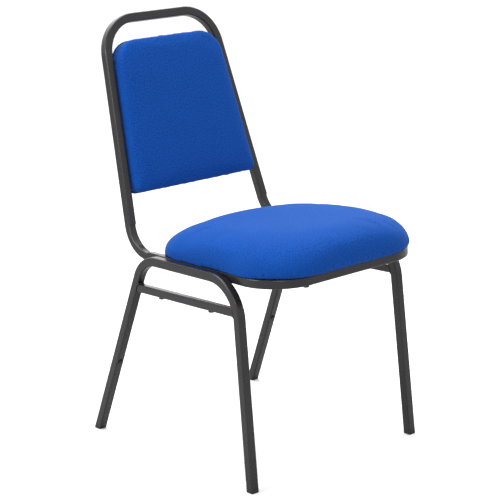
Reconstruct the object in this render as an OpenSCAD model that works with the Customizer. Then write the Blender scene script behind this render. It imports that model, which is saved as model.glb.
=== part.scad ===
// Stacking chair: square steel tube frame, upholstered seat pad and back pad.
// Millimetres. +Z up, the front of the chair faces -Y, the feet stand on Z = 0.

/* [Overall] */
// Height of the top of the back hoop
overall_h = 847; // [700:1:1000]

/* [Frame tube] */
// Side of the square frame tube
tube = 18; // [15:0.5:22]
// Wall of every tube
tube_wall = 1.5; // [1:0.1:2]
// Rounding of the tube's long edges
tube_edge = 3; // [2:0.1:3.6]

/* [Seat frame] */
// Height of the seat tube's centre line at the front bow
seat_front_h = 404; // [335:1:485]
// Slope of the seat frame down to the rear, in degrees
seat_slope = 1.7; // [0:0.1:4]
// Width over the seat frame at the front bow
seat_w_front = 407; // [340:1:490]
// Width over the seat frame at the foot of the back
seat_w_rear = 385; // [320:1:465]
// Length of the seat frame from the bow's centre line to the foot of the back
seat_len = 427; // [355:1:515]
// Bend radius of the bow's corners, on the centre line
bow_r = 80; // [60:1:100]
// Distance in front of the foot of the back where hoop and seat tube are butt welded
hoop_joint = 84; // [70:1:105]

/* [Back hoop] */
// How far the top of the hoop lies behind the foot of the back
back_run = 133; // [80:1:165]
// Width over the hoop at its top corners
hoop_w = 297; // [245:1:360]
// Bend radius of the hoop's top corners, on the centre line
hoop_r = 78; // [60:1:95]
// Radius of the crush bends at the foot of the back, on the centre line
crush_r = 72; // [60:1:87]
// Depth the inside wall of a crush bend is pressed in
crush_depth = 2.6; // [2:0.1:3.2]

/* [Leg frames] */
// Gap between a side rail and its leg frame at the front top corner
leg_gap_front = 0.3; // [0.2:0.1:2]
// Gap between a side rail and its leg frame at the rear top corner
leg_gap_rear = 3; // [0.2:0.1:4]
// How far a front foot stands outside its top corner
front_foot_splay = 6.5; // [0:0.5:15]
// How far a rear foot stands outside its top corner
rear_foot_splay = 8.5; // [0:0.5:15]
// Distance from the bow's centre line back to the front top corners
leg_set_back = 88.5; // [74:0.5:107]
// Length of the leg frame's top rail between its corners
leg_top_len = 278.5; // [232:0.5:335]
// How far a front foot stands in front of its top corner
front_foot_reach = 40.5; // [20:0.5:50]
// How far a rear foot stands behind its top corner
rear_foot_reach = 157.5; // [120:0.5:190]
// Bend radius at the front of a leg frame, on the centre line
front_leg_r = 78; // [60:1:94]
// Bend radius at the rear of a leg frame, on the centre line
rear_leg_r = 62; // [50:1:75]

/* [Stretchers] */
// Side of the square stretcher and cross rail tube
rail_tube = 16; // [13:0.5:18]
// Height of a stretcher's centre line at the front leg
stretcher_front_h = 343; // [290:1:350]
// Height of a stretcher's centre line at the rear leg
stretcher_rear_h = 331; // [280:1:340]

/* [Feet, studs and buffers] */
// Length of a foot's head along its leg, from the floor to the tube's end
foot_head = 9; // [7.5:0.5:12]
// Length of a foot's plug inside the tube
foot_plug = 22; // [16:1:30]
// Diameter of the stud on a rear leg
stud_d = 10; // [8:0.5:12]
// Height of the stud above the leg's face
stud_h = 3; // [2:0.5:4]
// Height of the studs above the floor
stud_z = 164; // [120:1:200]
// Diameter of a stacking buffer
buffer_d = 12; // [10:0.5:14]
// Height of a stacking buffer
buffer_h = 4.5; // [3:0.5:6]
// Distance between the two buffers of a stretcher
buffer_gap = 150; // [110:1:180]
// Distance between the two buffers under the front bow
front_buffer_gap = 237; // [190:1:250]

/* [Seat pad] */
// How far the pad bulges in front of the bow's front face
pad_front_over = 14; // [11:0.5:17]
// How far the seat board's front edge lies behind that bulge
pad_front_tuck = 8; // [6.5:0.5:10]
// How far the pad stands over the side rails' outer faces
pad_side_over = 2; // [0:0.5:4]
// Distance from the pad's rear edge to the foot of the back
pad_rear_gap = 61; // [50:1:74]
// Corner radius of the seat pad at the front
pad_front_r = 112; // [93:1:135]
// Corner radius of the seat pad at the rear
pad_rear_r = 78; // [60:1:94]
// Thickness of the seat pad at the middle of its crown
pad_h = 64; // [53:1:77]
// Height of the seat pad's upright edge
pad_edge_h = 34; // [28:1:41]
// How far in from the edge the seat pad goes on rising
pad_rise_reach = 105; // [87:1:112]
// Thickness of the plywood seat board
board_t = 12; // [9:0.5:15]
// How far the foam wraps round a board's edge, the cover included
board_wrap = 9; // [7.5:0.5:11]
// Thickness of the woven cover
cover_t = 1.5; // [1:0.1:2.5]

/* [Back pad] */
// Distance from the foot of the back to the back pad's lower edge
back_pad_low = 111.5; // [90:0.5:135]
// Distance from the back pad's upper edge to the top bar's centre line
back_pad_drop = 43; // [36:1:60]
// Gap between the back pad and each stile
back_pad_gap = 1.5; // [1:0.1:3]
// Top corner radius of the back pad
back_top_r = 52; // [43:1:63]
// Bottom corner radius of the back pad
back_low_r = 14; // [11:1:17]
// How far the back pad's crown stands in front of the tube's centre line
back_crown = 33; // [28:1:40]
// How far the back pad's upright edge stands in front of the tube's centre line
back_edge = 19; // [15:1:23]
// How far in from the edge the back pad goes on rising
back_rise_reach = 60; // [48:1:72]
// Thickness of the plywood back board
back_board_t = 10; // [8:0.5:12]
// Thickness of the rear panel
rear_panel_t = 2.8; // [2.4:0.1:3.4]

/* [Fixings] */
// Thread diameter of the pad screws
screw_d = 6; // [5:0.5:7]
// Clearance on a screw's diameter in a drilled hole
screw_clear = 0.6; // [0.4:0.1:1]
// Thickness of a back pad lug
lug_t = 3; // [2.5:0.1:3.5]
// Distance from the front cross rail to the bow's centre line
front_rail_v = 112; // [94:1:134]
// Distance from the rear cross rail to the bow's centre line
rear_rail_v = 300; // [250:1:330]
// Distance between the two seat screws of a cross rail
seat_screw_gap = 220; // [180:1:260]

/* [Hidden] */
$fn = 64;

eps = 0.01;
fit_clear = 0.1;                 // between a plug and the tube that it fills
half = tube / 2;
rail_half = rail_tube / 2;
powder_coat = [0.2, 0.2, 0.21];
cloth_blue = [0.1, 0.3, 0.68];

// --- Vectors ---
function unit(v) = v / norm(v);
function angle_between(a, b) = acos(min(1, max(-1, unit(a) * unit(b))));
function flip(p) = [-p.x, p.y, p.z];
// turns v about the unit axis a by the angle t
function turned(v, a, t) = v * cos(t) + cross(a, v) * sin(t) + a * (a * v) * (1 - cos(t));
function between(a, b, k) = a + (b - a) * k;
// the point of the line a-b at height z
function at_height(a, b, z) = between(a, b, (z - a.z) / (b.z - a.z));
// half the width of a tapering pair of lines at v, from w0 at v = 0 to w1 at v = len
function taper(w0, w1, len, v) = w0 + (w1 - w0) * v / len;

// --- Skeleton, on the tubes' centre lines, before it is centred in Y ---
// a point of the seat plane: x across, v back from the bow, w up from the tube's centre line
function seat_point(x, v, w = 0) = [x, v * cos(seat_slope) + w * sin(seat_slope),
    seat_front_h - v * sin(seat_slope) + w * cos(seat_slope)];
bow_corner = seat_point(seat_w_front / 2 - half, 0);
hoop_foot = seat_point(seat_w_rear / 2 - half, seat_len);
// the top bar's square section leans with the back, so its highest and rearmost points are on an edge
hoop_rise = overall_h - half - hoop_foot.z;
lean = atan(back_run / hoop_rise);
section_reach = (half - tube_edge) * (cos(lean) + sin(lean)) + tube_edge;
hoop_top = [hoop_w / 2 - half, hoop_foot.y + back_run, overall_h - section_reach];
// half the distance between the side rails' centre lines
function rail_half_w(v) = taper(seat_w_front / 2 - half, seat_w_rear / 2 - half, seat_len, v);
function leg_top_at(v, gap) = seat_point(rail_half_w(v) + tube + gap, v);
leg_front_top = leg_top_at(leg_set_back, leg_gap_front);
leg_rear_top = leg_top_at(leg_set_back + leg_top_len, leg_gap_rear);
front_foot_at = [leg_front_top.x + front_foot_splay, leg_front_top.y - front_foot_reach, 0];
rear_foot_at = [leg_rear_top.x + rear_foot_splay, leg_rear_top.y + rear_foot_reach, 0];
front_edge_y = seat_point(0, -half - pad_front_over, half + board_t).y;
rear_edge_y = hoop_top.y + section_reach;
centre_y = (front_edge_y + rear_edge_y) / 2;

// --- Back plane: origin midway between the stiles' feet ---
back_origin = [0, hoop_foot.y, hoop_foot.z];
back_up = unit([0, hoop_top.y - hoop_foot.y, hoop_top.z - hoop_foot.z]);
back_front = cross([1, 0, 0], back_up);
back_height = (hoop_top - hoop_foot) * back_up;
stile_lean = atan((hoop_foot.x - hoop_top.x) / back_height);
back_pad_len = back_height - back_pad_low - back_pad_drop;
// half the clear width between the stiles at height w up the back
function stile_clear(w) = taper(hoop_foot.x, hoop_top.x, back_height, w) - half / cos(stile_lean);

// --- Layers of the back pad, measured forward from the tubes' centre line ---
panel_back = -half;
panel_front = panel_back + rear_panel_t;
lug_front = -1;
lug_back = lug_front - lug_t;
board_back = lug_front;
board_front = board_back + back_board_t;

// --- Layers of the seat pad, measured up from the rails' top faces ---
pad_front_v = -half - pad_front_over;
pad_rear_v = seat_len - pad_rear_gap;

module place(origin, ex, ey, ez) {
    multmatrix([
        [ex.x, ey.x, ez.x, origin.x],
        [ex.y, ey.y, ez.y, origin.y],
        [ex.z, ey.z, ez.z, origin.z],
        [0, 0, 0, 1]]) children();
}
module centred() {
    translate([0, -centre_y, 0]) children();
}
// local axes: X across, Y back along the seat, Z up, with Z = 0 on the rails' top faces
module on_seat() {
    centred() place(seat_point(0, 0, half), [1, 0, 0], seat_point(0, 1) - seat_point(0, 0),
        seat_point(0, 0, 1) - seat_point(0, 0)) children();
}
// local axes: X across, Y up the back, Z forward, with Z = 0 on the stiles' centre lines
module on_back() {
    centred() place(back_origin, [1, 0, 0], back_up, -back_front) mirror([0, 0, 1]) children();
}
module both_sides() {
    children();
    mirror([1, 0, 0]) children();
}

// --- Square tube ---
module rounded_square(side, r) {
    square([side, side - 2 * r], center = true);
    square([side - 2 * r, side], center = true);
    for (x = [-1, 1], y = [-1, 1])
        translate([x * (side / 2 - r), y * (side / 2 - r)]) circle(r);
}
module tube_section(side) {
    difference() {
        rounded_square(side, tube_edge);
        rounded_square(side - 2 * tube_wall, tube_edge - tube_wall);
    }
}
// the section of a crush bend: its inside wall, on the -X side, is pressed in
module rounded_block(low_x, high_x, side_y, r) {
    translate([low_x, -side_y / 2 + r]) square([high_x - low_x, side_y - 2 * r]);
    translate([low_x + r, -side_y / 2]) square([high_x - low_x - 2 * r, side_y]);
    for (x = [low_x + r, high_x - r], y = [-1, 1])
        translate([x, y * (side_y / 2 - r)]) circle(r);
}
module crushed_section() {
    difference() {
        rounded_block(-half + crush_depth, half, tube, tube_edge);
        rounded_block(-half + crush_depth + tube_wall, half - tube_wall, tube - 2 * tube_wall,
            tube_edge - tube_wall);
    }
}

// --- Bent tube along the corners in points, with a bend radius for each inner corner ---
function run_dir(points, i) = unit(points[i + 1] - points[i]);
function bend_axis(points, i) = unit(cross(run_dir(points, i - 1), run_dir(points, i)));
function bend_angle(points, i) = angle_between(run_dir(points, i - 1), run_dir(points, i));
function bend_trim(points, radii, i) =
    i == 0 || i == len(points) - 1 ? 0 : radii[i - 1] * tan(bend_angle(points, i) / 2);
// the section's side vector on run i, carried round the bends without twist
function side_of(points, first, i) = i == 0 ? first :
    turned(side_of(points, first, i - 1), bend_axis(points, i), bend_angle(points, i));

// A straight run laps into the bends at its ends, a hair inside their walls.
lap = 1;
lap_inset = 0.02;
module run_section() {
    difference() {
        rounded_square(tube - 2 * lap_inset, tube_edge - lap_inset);
        rounded_square(tube - 2 * tube_wall + 2 * lap_inset, tube_edge - tube_wall + lap_inset);
    }
}
// closes the step beside a crush bend, on the side that faces the bend's centre
module crush_stop(inward, side, across) {
    low = half - crush_depth - tube_wall / 2;
    rotate(atan2(inward * across, inward * side))
        translate([low, -half + tube_wall * 0.93, -lap])
            cube([half - tube_wall / 3 - low, tube - tube_wall * 1.86, 2 * lap]);
}
module tube_run(points, radii, first_side, i, first_trim = 0, stop_at_start = false, stop_at_end = false) {
    last = len(points) - 1;
    d = run_dir(points, i);
    s = side_of(points, first_side, i);
    trim_a = i == 0 ? first_trim : bend_trim(points, radii, i);
    trim_b = bend_trim(points, radii, i + 1);
    lap_a = trim_a > 0 ? lap : 0;
    lap_b = trim_b > 0 ? lap : 0;
    length = norm(points[i + 1] - points[i]) - trim_a - trim_b;
    place(points[i] + d * trim_a, s, cross(d, s), d) {
        translate([0, 0, -lap_a]) linear_extrude(length + lap_a + lap_b) run_section();
        if (stop_at_start) crush_stop(cross(bend_axis(points, i), d), s, cross(d, s));
        if (stop_at_end) translate([0, 0, length])
            crush_stop(cross(bend_axis(points, i + 1), d), s, cross(d, s));
    }
}
module tube_bend(points, radii, first_side, i, section = "open") {
    d = run_dir(points, i - 1);
    a = bend_axis(points, i);
    outward = -cross(a, d);
    s = side_of(points, first_side, i - 1);
    start = points[i] - d * bend_trim(points, radii, i);
    roll = atan2(s * a, s * outward);
    place(start - outward * radii[i - 1], outward, d, a)
        rotate_extrude(angle = bend_angle(points, i))
            translate([radii[i - 1], 0])
                if (section == "crushed") crushed_section();
                else if (section == "filled") rotate(roll) rounded_square(tube, tube_edge);
                else rotate(roll) tube_section(tube);
}
module bent_tube(points, radii, first_side) {
    for (i = [0:len(points) - 2]) tube_run(points, radii, first_side, i);
    for (i = [1:len(points) - 2]) tube_bend(points, radii, first_side, i);
}

// --- Back hoop ---
hoop_joint_v = seat_len - hoop_joint;
hoop_end = seat_point(rail_half_w(hoop_joint_v), hoop_joint_v);
hoop_path = [flip(hoop_top), hoop_top, hoop_foot, hoop_end];
hoop_radii = [hoop_r, crush_r];
stile_side = side_of(hoop_path, back_front, 1);
module back_hoop() {
    color(powder_coat) centred() {
        tube_run(hoop_path, hoop_radii, back_front, 0, bend_trim(hoop_path, hoop_radii, 1));
        both_sides() {
            tube_bend(hoop_path, hoop_radii, back_front, 1);
            tube_run(hoop_path, hoop_radii, back_front, 1, stop_at_end = true);
            tube_bend(hoop_path, hoop_radii, back_front, 2, "crushed");
            tube_run(hoop_path, hoop_radii, back_front, 2, stop_at_start = true);
        }
    }
}

// --- Seat frame tube: the bow with both side rails ---
seat_normal = seat_point(0, 0, 1) - seat_point(0, 0);
module seat_frame_tube() {
    color(powder_coat) centred() difference() {
        bent_tube([flip(hoop_end), flip(bow_corner), bow_corner, hoop_end], [bow_r, bow_r], seat_normal);
        for (x = [-1, 1]) front_buffer_place(x) translate([0, 0, -tube_wall - 1])
            cylinder(d = buffer_stem_d + screw_clear, h = tube_wall + 2);
    }
}

// --- Leg frames ---
leg_path = [front_foot_at, leg_front_top, leg_rear_top, rear_foot_at];
front_leg_dir = run_dir(leg_path, 0);
rear_leg_dir = -run_dir(leg_path, 2);
leg_side = unit(cross(run_dir(leg_path, 0), run_dir(leg_path, 1)));
front_tube_end = front_foot_at + front_leg_dir * foot_head;
rear_tube_end = rear_foot_at + rear_leg_dir * foot_head;
tube_path = [front_tube_end, leg_front_top, leg_rear_top, rear_tube_end];
leg_radii = [front_leg_r, rear_leg_r];
rear_leg_side = side_of(tube_path, leg_side, 2);
stretcher_front = at_height(front_foot_at, leg_front_top, stretcher_front_h);
stretcher_rear = at_height(rear_foot_at, leg_rear_top, stretcher_rear_h);
stretcher_dir = unit(stretcher_rear - stretcher_front);
stretcher_side = unit(leg_side - stretcher_dir * (leg_side * stretcher_dir));
stretcher_down = cross(stretcher_dir, stretcher_side).z < 0 ?
    cross(stretcher_dir, stretcher_side) : -cross(stretcher_dir, stretcher_side);
stud_centre = at_height(rear_foot_at, leg_rear_top, stud_z);
// forward across the rear leg's front face
stud_normal = cross(rear_leg_dir, rear_leg_side).y < 0 ?
    cross(rear_leg_dir, rear_leg_side) : -cross(rear_leg_dir, rear_leg_side);
stud_stem_d = 5;
buffer_stem_d = 4;

module stud_place() {
    place(stud_centre + stud_normal * half, rear_leg_side, cross(stud_normal, rear_leg_side),
        stud_normal) children();
}
module leg_frame() {
    difference() {
        bent_tube(tube_path, leg_radii, leg_side);
        stud_place() translate([0, 0, -tube_wall - 1])
            cylinder(d = stud_stem_d + 2 * fit_clear, h = tube_wall + 2);
    }
}
module right_leg_frame() {
    color(powder_coat) centred() leg_frame();
}
module left_leg_frame() {
    color(powder_coat) centred() mirror([1, 0, 0]) leg_frame();
}

// --- Stretchers: coped to the legs they are welded to ---
// the outside of a leg, filled: straight i of the leg frame and the bend that follows or precedes it
module filled_leg(i, side) {
    trim_a = bend_trim(tube_path, leg_radii, i);
    trim_b = bend_trim(tube_path, leg_radii, i + 1);
    d = run_dir(tube_path, i);
    place(tube_path[i] + d * (trim_a > 0 ? trim_a - lap : 0), side, cross(d, side), d)
        linear_extrude(norm(tube_path[i + 1] - tube_path[i]) - trim_a - trim_b + lap)
            rounded_square(tube, tube_edge);
}
module stretcher_buffer_places() {
    middle = between(stretcher_front, stretcher_rear, 0.5);
    for (k = [-1, 1])
        place(middle + stretcher_dir * k * buffer_gap / 2 + stretcher_down * rail_half,
            stretcher_side, cross(stretcher_down, stretcher_side), stretcher_down) children();
}
module stretcher() {
    difference() {
        place(stretcher_front, stretcher_side, cross(stretcher_dir, stretcher_side), stretcher_dir)
            linear_extrude(norm(stretcher_rear - stretcher_front)) tube_section(rail_tube);
        filled_leg(0, leg_side);
        tube_bend(tube_path, leg_radii, leg_side, 1, "filled");
        filled_leg(2, rear_leg_side);
        stretcher_buffer_places() translate([0, 0, -tube_wall - 1])
            cylinder(d = buffer_stem_d + 2 * fit_clear, h = tube_wall + 2);
    }
}
module right_stretcher() {
    color(powder_coat) centred() stretcher();
}
module left_stretcher() {
    color(powder_coat) centred() mirror([1, 0, 0]) stretcher();
}

// --- Cross rails under the seat, coped to the side rails ---
module side_rail_solid() {
    d = unit(hoop_end - bow_corner);
    s = seat_normal;
    place(bow_corner, s, cross(d, s), d)
        linear_extrude(norm(hoop_end - bow_corner)) rounded_square(tube, tube_edge);
}
module cross_rail(v) {
    lift = half - rail_half;
    difference() {
        place(seat_point(-rail_half_w(v), v, lift), seat_normal, cross([1, 0, 0], seat_normal), [1, 0, 0])
            linear_extrude(2 * rail_half_w(v)) tube_section(rail_tube);
        both_sides() side_rail_solid();
        for (x = [-1, 1])
            place(seat_point(x * seat_screw_gap / 2, v, half + 1), [1, 0, 0],
                cross(-seat_normal, [1, 0, 0]), -seat_normal)
                cylinder(d = screw_d + screw_clear, h = rail_tube + 2);
    }
}
module front_cross_rail() {
    color(powder_coat) centred() cross_rail(front_rail_v);
}
module rear_cross_rail() {
    color(powder_coat) centred() cross_rail(rear_rail_v);
}

// --- Welds between the side rails and the leg frames ---
bead_len = 36;
bead_h = 4;
module weld_bead(v) {
    gap_in = rail_half_w(v) + half;
    gap_out = taper(leg_front_top.x, leg_rear_top.x, leg_top_len, v - leg_set_back) - half;
    place(seat_point(gap_in - 0.5, v, -half + 1), [1, 0, 0], seat_point(0, 1) - seat_point(0, 0), seat_normal)
        translate([0, -bead_len / 2, 0]) cube([gap_out - gap_in + 1, bead_len, bead_h]);
}
module weld_beads() {
    color(powder_coat) centred() both_sides()
        for (v = [leg_set_back + leg_top_len * 0.36, leg_set_back + leg_top_len * 0.72]) weld_bead(v);
}

// --- Feet: a head under the tube's end and a plug inside it ---
module foot(at, up, side) {
    intersection() {
        place(at - up * tube, side, cross(up, side), up) {
            linear_extrude(tube + foot_head) rounded_square(tube, tube_edge);
            translate([0, 0, tube + foot_head - eps]) linear_extrude(foot_plug)
                rounded_square(tube - 2 * tube_wall - 2 * fit_clear, tube_edge - tube_wall);
        }
        translate([at.x - tube * 2, at.y - tube * 2, 0]) cube([tube * 4, tube * 4, tube * 4]);
    }
}
module front_right_foot() {
    color("black") centred() foot(front_foot_at, front_leg_dir, leg_side);
}
module front_left_foot() {
    color("black") centred() mirror([1, 0, 0]) foot(front_foot_at, front_leg_dir, leg_side);
}
module rear_right_foot() {
    color("black") centred() foot(rear_foot_at, rear_leg_dir, rear_leg_side);
}
module rear_left_foot() {
    color("black") centred() mirror([1, 0, 0]) foot(rear_foot_at, rear_leg_dir, rear_leg_side);
}

// --- Studs and buffers: a domed head on a stem ---
module domed_head(d, h) {
    dome_r = 0.4 * (d * d + h * h) / h;
    intersection() {
        cylinder(d = d, h = h);
        translate([0, 0, h - dome_r]) sphere(dome_r);
    }
}
module leg_stud() {
    stud_place() {
        domed_head(stud_d, stud_h);
        translate([0, 0, -tube_wall - 2]) cylinder(d = stud_stem_d, h = tube_wall + 2 + eps);
    }
}
module right_leg_stud() {
    color("black") centred() leg_stud();
}
module left_leg_stud() {
    color("black") centred() mirror([1, 0, 0]) leg_stud();
}
module buffer() {
    domed_head(buffer_d, buffer_h);
    translate([0, 0, -tube_wall - 2]) cylinder(d = buffer_stem_d, h = tube_wall + 2 + eps);
}
module right_stretcher_buffers() {
    color("black") centred() stretcher_buffer_places() buffer();
}
module left_stretcher_buffers() {
    color("black") centred() mirror([1, 0, 0]) stretcher_buffer_places() buffer();
}
module front_buffer_place(x) {
    place(seat_point(x * front_buffer_gap / 2, 0, -half), [1, 0, 0], cross(-seat_normal, [1, 0, 0]),
        -seat_normal) children();
}
module front_rail_buffers() {
    color("black") centred() for (x = [-1, 1]) front_buffer_place(x) buffer();
}

// --- Pad outlines: a trapezium with rounded corners, symmetrical about X = 0 ---
function trapezium_slope(t) = atan((t[3] - t[2]) / (t[1] - t[0]));
// t lists the low and high ends, the half widths there and the corner radii there
function low_disc(t) = [t[2] - t[4] * (1 - sin(trapezium_slope(t))) / cos(trapezium_slope(t)), t[0] + t[4]];
function high_disc(t) = [t[3] - t[5] * (1 + sin(trapezium_slope(t))) / cos(trapezium_slope(t)), t[1] - t[5]];
module corner_discs(t) {
    for (x = [-1, 1]) {
        translate([x * low_disc(t).x, low_disc(t).y]) circle(t[4]);
        translate([x * high_disc(t).x, high_disc(t).y]) circle(t[5]);
    }
}
hair = 0.005;                    // the straight edges lie this far inside the corner discs
module rounded_trapezium(t) {
    low = low_disc(t);
    high = high_disc(t);
    out = [cos(trapezium_slope(t)), -sin(trapezium_slope(t))];
    low_out = low + out * (t[4] - hair);
    high_out = high + out * (t[5] - hair);
    polygon([[-low.x, t[0] + hair], [low.x, t[0] + hair], low, low_out, high_out, high,
        [high.x, t[1] - hair], [-high.x, t[1] - hair], [-high.x, high.y], [-high_out.x, high_out.y],
        [-low_out.x, low_out.y], [-low.x, low.y]]);
    corner_discs(t);
}
corner_min = 6;
// tuck draws the front edge that much further back
function seat_outline(inset, tuck = 0) = [pad_front_v + tuck + inset, pad_rear_v - inset,
    rail_half_w(pad_front_v + tuck + inset) + half + pad_side_over - inset,
    rail_half_w(pad_rear_v - inset) + half + pad_side_over - inset,
    max(pad_front_r - inset, corner_min), max(pad_rear_r - inset, corner_min)];
seat_board_outline = seat_outline(board_wrap, pad_front_tuck);
function back_outline(inset) = [back_pad_low + inset, back_pad_low + back_pad_len - inset,
    stile_clear(back_pad_low + inset) - back_pad_gap - inset,
    stile_clear(back_pad_low + back_pad_len - inset) - back_pad_gap - inset,
    max(back_low_r - inset, corner_min), max(back_top_r - inset, corner_min)];

// A soft body: an upright edge, then a quarter of an ellipse from z1 over to the crown at z2.
// skin draws the same body inside its cover: that much lower, and twice as much in from the edge.
// Under the upright edge the pad draws in to its board.
layer_t = 1;
layer_count = 7;
facets = 48;
under_in = 3;                    // how far the pad's lower edge lies inside its upright edge
function layer_inset(k, reach) = reach * (1 - cos(90 * k / layer_count));
function layer_z(k, z1, z2) = z1 + (z2 - z1) * sin(90 * k / layer_count);
module seat_body(z0, skin) {
    hull() {
        translate([0, 0, z0]) linear_extrude(layer_t)
            corner_discs(seat_outline(2 * skin + under_in, pad_front_tuck - under_in), $fn = facets);
        translate([0, 0, board_t]) linear_extrude(pad_edge_h - skin - board_t)
            corner_discs(seat_outline(2 * skin), $fn = facets);
        for (k = [1:layer_count])
            translate([0, 0, layer_z(k, pad_edge_h, pad_h) - skin - layer_t]) linear_extrude(layer_t)
                corner_discs(seat_outline(2 * skin + layer_inset(k, pad_rise_reach)), $fn = facets);
    }
}
module back_body(z0, skin) {
    hull() {
        translate([0, 0, z0]) linear_extrude(back_edge - skin - z0)
            corner_discs(back_outline(2 * skin), $fn = facets);
        for (k = [1:layer_count])
            translate([0, 0, layer_z(k, back_edge, back_crown) - skin - layer_t]) linear_extrude(layer_t)
                corner_discs(back_outline(2 * skin + layer_inset(k, back_rise_reach)), $fn = facets);
    }
}

// --- Fixings ---
tee_d = 8;
tee_flange_d = 18;
tee_flange_t = 1.4;
head_d = 12;
module seat_screw_places() {
    for (v = [front_rail_v, rear_rail_v], x = [-1, 1]) translate([x * seat_screw_gap / 2, v, 0]) children();
}
lug_low = back_pad_low + 60;
lug_high = back_pad_low + back_pad_len - 70;
lug_reach = 34;
lug_w = 24;
lug_hole_in = 22;
function lug_hole_x(w) = stile_clear(w) - lug_hole_in;
module back_screw_places() {
    for (w = [lug_low, lug_high], x = [-1, 1]) translate([x * lug_hole_x(w), w, 0]) children();
}
// a pan head under z = 0 with its shank going up
module screw(head_h, shank) {
    translate([0, 0, -head_h]) cylinder(d = head_d, h = head_h);
    translate([0, 0, -eps]) cylinder(d = screw_d - 2 * fit_clear, h = shank + eps);
}
// a barrel going down from a flange whose top is at z = 0
module tee_nut(depth) {
    difference() {
        union() {
            translate([0, 0, -tee_flange_t]) cylinder(d = tee_flange_d, h = tee_flange_t);
            translate([0, 0, -depth]) cylinder(d = tee_d, h = depth);
        }
        translate([0, 0, -depth - 1]) cylinder(d = screw_d, h = depth + 2);
    }
}
module tee_nut_pocket(depth, thickness) {
    translate([0, 0, -tee_flange_t]) cylinder(d = tee_flange_d + 2 * fit_clear, h = tee_flange_t + 1);
    translate([0, 0, -thickness - 1]) cylinder(d = tee_d + 2 * fit_clear, h = thickness + 2);
}

// --- Seat pad ---
module seat_board() {
    color("burlywood") on_seat() difference() {
        linear_extrude(board_t) rounded_trapezium(seat_board_outline);
        seat_screw_places() translate([0, 0, board_t]) tee_nut_pocket(board_t - 2, board_t);
    }
}
module seat_foam() {
    color("khaki") on_seat() difference() {
        seat_body(0, cover_t);
        translate([0, 0, -1]) linear_extrude(board_t + 1) rounded_trapezium(seat_board_outline);
    }
}
module seat_cover() {
    color(cloth_blue) on_seat() difference() {
        seat_body(0, 0);
        seat_body(-1, cover_t);
    }
}
module seat_screws() {
    color("silver") on_seat() seat_screw_places() translate([0, 0, -rail_tube])
        screw(3.5, rail_tube + board_t - 3);
}
module seat_tee_nuts() {
    color("silver") on_seat() seat_screw_places() translate([0, 0, board_t]) tee_nut(board_t - 2);
}

// --- Back pad ---
module back_board() {
    color("burlywood") on_back() difference() {
        translate([0, 0, board_back]) linear_extrude(back_board_t)
            rounded_trapezium(back_outline(board_wrap));
        back_screw_places() translate([0, 0, board_front]) tee_nut_pocket(back_board_t - 1, back_board_t);
    }
}
module back_foam() {
    color("khaki") on_back() difference() {
        back_body(panel_front, cover_t);
        translate([0, 0, panel_front - 1]) linear_extrude(board_front - panel_front + 1)
            rounded_trapezium(back_outline(board_wrap));
        both_sides() lug_block(0.3);
    }
}
module lug_block(clear) {
    for (w = [lug_low, lug_high])
        translate([lug_hole_x(w) - lug_reach + lug_hole_in - clear, w - lug_w / 2 - clear, lug_back - clear])
            cube([lug_reach * 2, lug_w + 2 * clear, lug_t + 2 * clear]);
}
module back_cover() {
    color(cloth_blue) on_back() difference() {
        back_body(panel_front, 0);
        back_body(panel_front - 1, cover_t);
        both_sides() lug_block(0.3);
    }
}
module back_rear_panel() {
    color(cloth_blue) on_back() translate([0, 0, panel_back]) linear_extrude(rear_panel_t)
        rounded_trapezium(back_outline(0));
}
module back_screws() {
    color("silver") on_back() back_screw_places() translate([0, 0, lug_back])
        screw(2, back_board_t + lug_t - 1);
}
module back_tee_nuts() {
    color("silver") on_back() back_screw_places() translate([0, 0, board_front]) tee_nut(back_board_t - 1);
}
// lugs end on the stile's inner face
module stile_solid() {
    place(hoop_foot, stile_side, cross(unit(hoop_top - hoop_foot), stile_side), unit(hoop_top - hoop_foot))
        linear_extrude(norm(hoop_top - hoop_foot)) rounded_square(tube, tube_edge);
}
module back_lugs() {
    difference() {
        on_back() difference() {
            for (w = [lug_low, lug_high])
                translate([lug_hole_x(w) - lug_reach + lug_hole_in, w - lug_w / 2, lug_back])
                    cube([lug_reach + half, lug_w, lug_t]);
            back_screw_places() translate([0, 0, lug_back - 1])
                cylinder(d = screw_d + screw_clear, h = lug_t + 2);
        }
        centred() stile_solid();
    }
}
module right_back_lugs() {
    color(powder_coat) back_lugs();
}
module left_back_lugs() {
    color(powder_coat) mirror([1, 0, 0]) back_lugs();
}

back_hoop();
seat_frame_tube();
left_leg_frame();
right_leg_frame();
left_stretcher();
right_stretcher();
front_cross_rail();
rear_cross_rail();
weld_beads();
left_back_lugs();
right_back_lugs();
seat_board();
seat_foam();
seat_cover();
seat_screws();
seat_tee_nuts();
back_board();
back_foam();
back_cover();
back_rear_panel();
back_screws();
back_tee_nuts();
front_left_foot();
front_right_foot();
rear_left_foot();
rear_right_foot();
left_stretcher_buffers();
right_stretcher_buffers();
front_rail_buffers();
left_leg_stud();
right_leg_stud();
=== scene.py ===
import math

import bmesh
import bpy
import numpy as np
from mathutils import Matrix, Vector, noise
from mathutils.bvhtree import BVHTree


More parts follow.
